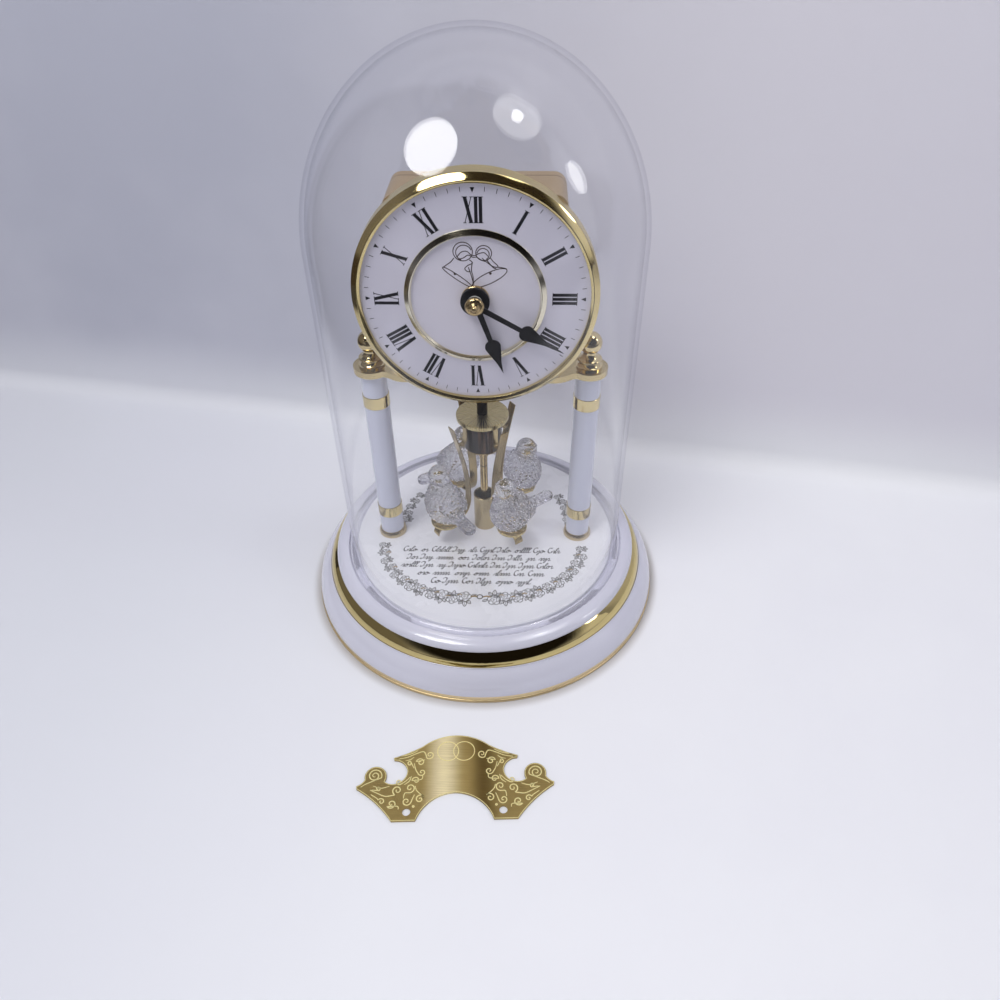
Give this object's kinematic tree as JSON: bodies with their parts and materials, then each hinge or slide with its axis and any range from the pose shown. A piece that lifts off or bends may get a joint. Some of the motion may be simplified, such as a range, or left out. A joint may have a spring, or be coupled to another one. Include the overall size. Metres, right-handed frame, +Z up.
{
  "type": "anniversary clock",
  "caption": "Mantel clock under a lift-off glass dome: round dial on two columns, turning pendulum with crystal birds, white base with gold band, loose crest plate.",
  "frame": {"origin": "centre of the base's flat underside, on the table plane", "axes": "+Z up the dome axis, the dial faces -Y, +X to the right of a viewer facing the dial"},
  "size_m": [0.154, 0.2049, 0.2255],
  "materials": {
    "white_enamel": "glossy white enamel with a faint lavender sheen",
    "floor_enamel": "glossy white enamel printed with a garland",
    "gold_trim": "gold plated line",
    "polished_gold": "mirror polished, gold plated",
    "brushed_brass": "fine brushed and lacquered",
    "turned_brass": "turned, polished and lacquered",
    "felt": "felt faced board",
    "dome_glass": "clear blown glass",
    "crystal": "clear pressed crystal with cut texture",
    "steel": "zinc plated",
    "magnet_steel": "nickel plated magnet",
    "dial_white": "white lacquered dial with printed numerals",
    "hand_black": "black lacquer",
    "case_champagne": "champagne gold moulded plastic",
    "case_black": "black moulded plastic",
    "dark_lacquer": "dark lacquered drum, gloss",
    "plastic_white": "natural acetal",
    "copper_winding": "enamelled copper winding",
    "board_green": "solder mask",
    "battery_wrap": "plain shrink sleeve"
  },
  "bodies": {
    "base": {"base_shell": "white_enamel", "base_foot_trim": "gold_trim", "base_gold_band": "polished_gold", "floor_disc": "floor_enamel", "bottom_cover": "felt", "left_column": "white_enamel", "right_column": "white_enamel", "column_bands": "polished_gold", "column_ferrules": "brushed_brass", "tie_rods": "steel", "tie_rod_nuts": "steel", "tie_rod_washers": "steel", "platform_plate": "brushed_brass", "platform_screws": "steel", "finials": "turned_brass", "bezel": "turned_brass", "bezel_pan": "brushed_brass", "dial_plate": "dial_white", "dial_ring": "polished_gold", "bushing_nut": "turned_brass", "movement_case_front": "case_champagne", "movement_case_back": "case_champagne", "case_screws": "steel", "bearing_plate": "plastic_white", "stator": "steel", "stepper_coil": "copper_winding", "circuit_board": "board_green", "battery_contact_plus": "steel", "battery_contact_minus": "steel", "hanger_bracket": "steel", "drive_coil": "copper_winding", "guide_cup": "turned_brass"},
    "dome": {"glass_dome": "dome_glass"},
    "pendulum": {"pendulum_rod": "turned_brass", "pendulum_magnet": "magnet_steel", "pendulum_disc": "brushed_brass", "pendulum_drum": "dark_lacquer", "pendulum_arms": "brushed_brass", "arm_hooks": "polished_gold", "bird_trays": "turned_brass", "crystal_bird_front_left": "crystal", "crystal_bird_front_right": "crystal", "crystal_bird_back_right": "crystal", "crystal_bird_back_left": "crystal"},
    "minute_arbor": {"centre_arbor": "plastic_white", "minute_hand": "hand_black", "hand_nut": "turned_brass"},
    "hour_arbor": {"hour_wheel": "plastic_white", "hour_hand": "hand_black"},
    "motion_wheel": {"minute_wheel": "plastic_white"},
    "setting_shaft": {"setting_knob": "case_black"},
    "third": {"third_wheel": "plastic_white"},
    "fourth": {"fourth_wheel": "plastic_white"},
    "intermediate": {"intermediate_wheel": "plastic_white"},
    "rotor_shaft": {"rotor": "magnet_steel"},
    "battery_cell": {"battery": "battery_wrap"},
    "crest": {"crest_plate": "brushed_brass"}
  },
  "joints": [
    {"name": "dome_lift", "type": "slide", "parent": "base", "child": "dome", "axis": [0, 0, 1], "range_m": [0, 0.22]},
    {"name": "pendulum_turn", "type": "hinge", "parent": "base", "child": "pendulum", "pos_m": [0, 0.0054, 0.1], "axis": [0, 0, 1], "range_deg": [-180, 180]},
    {"name": "minute_hand_turn", "type": "hinge", "parent": "base", "child": "minute_arbor", "pos_m": [0, 0, 0.146], "axis": [0, 1, 0], "continuous": true},
    {"name": "hour_hand_turn", "type": "hinge", "parent": "base", "child": "hour_arbor", "pos_m": [0, 0, 0.146], "axis": [0, 1, 0], "continuous": true},
    {"name": "minute_wheel_turn", "type": "hinge", "parent": "base", "child": "motion_wheel", "pos_m": [-0.0094, 0, 0.14258], "axis": [0, 1, 0], "continuous": true},
    {"name": "setting_knob_turn", "type": "hinge", "parent": "base", "child": "setting_shaft", "pos_m": [-0.01282, 0, 0.13318], "axis": [0, 1, 0], "continuous": true},
    {"name": "third_wheel_turn", "type": "hinge", "parent": "base", "child": "third", "pos_m": [0.0115, 0, 0.15019], "axis": [0, 1, 0], "continuous": true},
    {"name": "fourth_wheel_turn", "type": "hinge", "parent": "base", "child": "fourth", "pos_m": [0.0143, 0, 0.13975], "axis": [0, 1, 0], "continuous": true},
    {"name": "intermediate_wheel_turn", "type": "hinge", "parent": "base", "child": "intermediate", "pos_m": [0.00922, 0, 0.13791], "axis": [0, 1, 0], "continuous": true},
    {"name": "rotor_turn", "type": "hinge", "parent": "base", "child": "rotor_shaft", "pos_m": [0.0066, 0, 0.13336], "axis": [0, 1, 0], "continuous": true},
    {"name": "battery_removal", "type": "slide", "parent": "base", "child": "battery_cell", "axis": [0, 1, 0], "range_m": [0, 0.028]},
    {"name": "crest_lift", "type": "slide", "parent": "base", "child": "crest", "axis": [0, 0, 1], "range_m": [0, 0.1]}
  ],
  "couplings": [
    {"joint": "hour_hand_turn", "follows": "minute_hand_turn", "ratio": 0.083333},
    {"joint": "minute_wheel_turn", "follows": "minute_hand_turn", "ratio": -0.33333},
    {"joint": "setting_knob_turn", "follows": "minute_hand_turn", "ratio": 1},
    {"joint": "third_wheel_turn", "follows": "minute_hand_turn", "ratio": -7.5},
    {"joint": "fourth_wheel_turn", "follows": "minute_hand_turn", "ratio": 60},
    {"joint": "intermediate_wheel_turn", "follows": "minute_hand_turn", "ratio": -300},
    {"joint": "rotor_turn", "follows": "minute_hand_turn", "ratio": 1800}
  ]
}
